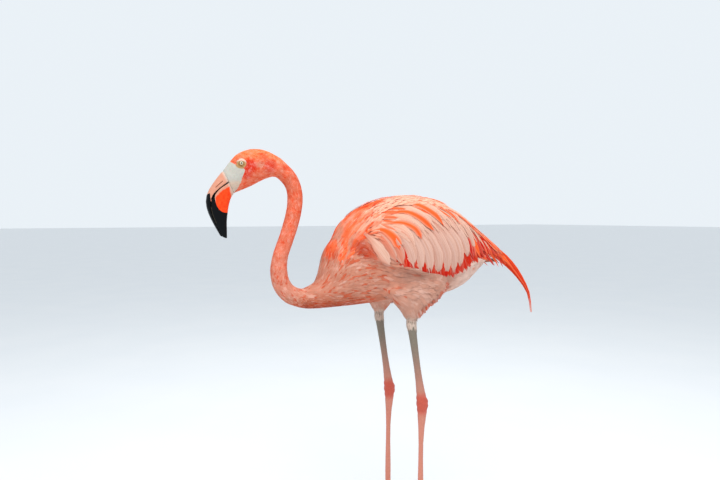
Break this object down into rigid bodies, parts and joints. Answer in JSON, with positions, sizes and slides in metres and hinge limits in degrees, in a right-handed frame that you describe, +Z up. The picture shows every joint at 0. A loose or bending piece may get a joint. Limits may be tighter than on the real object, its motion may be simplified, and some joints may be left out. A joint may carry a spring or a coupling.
{
  "type": "flamingo",
  "caption": "Life-size standing flamingo with an S-curved neck, bent bill, folded wings with drooping plumes, long bare legs and webbed feet.",
  "frame": {"origin": "on the floor, under the middle of the whole bird's box", "axes": "+X the way the body faces, +Y the bird's left, +Z up from the floor its webs stand on"},
  "size_m": [0.7402, 0.2022, 0.801],
  "materials": {
    "plumage_coral": "matt feathers, coral to salmon, speckled orange-red",
    "plumage_shell_pink": "matt feathers, pale shell pink with orange-red streaks",
    "plumage_scarlet": "matt long feathers, scarlet to vermilion",
    "leg_skin": "scaled bare skin, greyish pink",
    "bill_pale_horn": "satin horn, pink to cream, black at the bend",
    "bill_dark_horn": "satin horn, black, with an orange patch",
    "claw_horn": "dark satin horn",
    "iris": "wet pale yellow eye with a black pupil"
  },
  "bodies": {
    "root": {"ankle_left": "leg_skin", "ankle_right": "leg_skin", "bill_lower": "bill_dark_horn", "bill_upper": "bill_pale_horn", "claw_left_inner": "claw_horn", "claw_left_middle": "claw_horn", "claw_left_outer": "claw_horn", "claw_right_inner": "claw_horn", "claw_right_middle": "claw_horn", "claw_right_outer": "claw_horn", "eye_left": "iris", "eye_right": "iris", "foot_left": "leg_skin", "foot_right": "leg_skin", "head": "plumage_coral", "neck_lower": "plumage_coral", "neck_middle": "plumage_coral", "neck_root": "plumage_coral", "neck_upper": "plumage_coral", "plume_left": "plumage_scarlet", "plume_right": "plumage_scarlet", "shank_left": "leg_skin", "shank_right": "leg_skin", "tail": "plumage_shell_pink", "tarsus_left": "leg_skin", "tarsus_right": "leg_skin", "thigh_left": "plumage_coral", "thigh_right": "plumage_coral", "trunk": "plumage_coral", "wing_left": "plumage_shell_pink", "wing_right": "plumage_shell_pink"}
  },
  "joints": []
}
